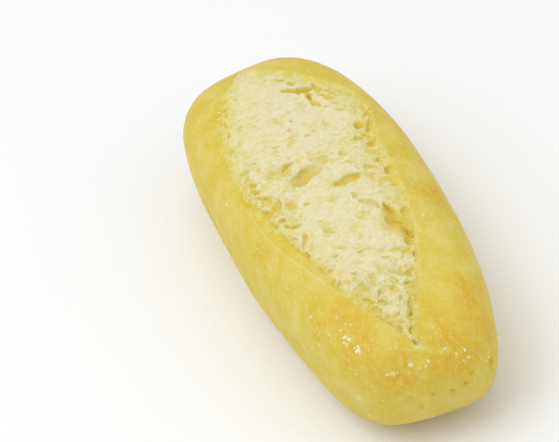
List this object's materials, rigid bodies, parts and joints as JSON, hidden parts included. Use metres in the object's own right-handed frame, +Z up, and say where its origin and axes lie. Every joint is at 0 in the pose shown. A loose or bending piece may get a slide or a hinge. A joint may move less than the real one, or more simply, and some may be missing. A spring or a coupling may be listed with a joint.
{
  "type": "semolina ciabatta loaf",
  "caption": "Oval semolina ciabatta, pale golden crust round a long cut that tore open in the oven and shows airy crumb.",
  "frame": {"origin": "middle of the overall box at the bottom, on the surface that the loaf lies on", "axes": "+X along the loaf towards the sharp tip of the cut, +Y across it towards the steep rim of the cut, +Z up"},
  "size_m": [0.22, 0.089, 0.06],
  "materials": {
    "crust": "baked, matt with a faint sheen",
    "crumb": "soft, matt and porous"
  },
  "bodies": {
    "root": {"loaf": "crust"}
  },
  "joints": []
}
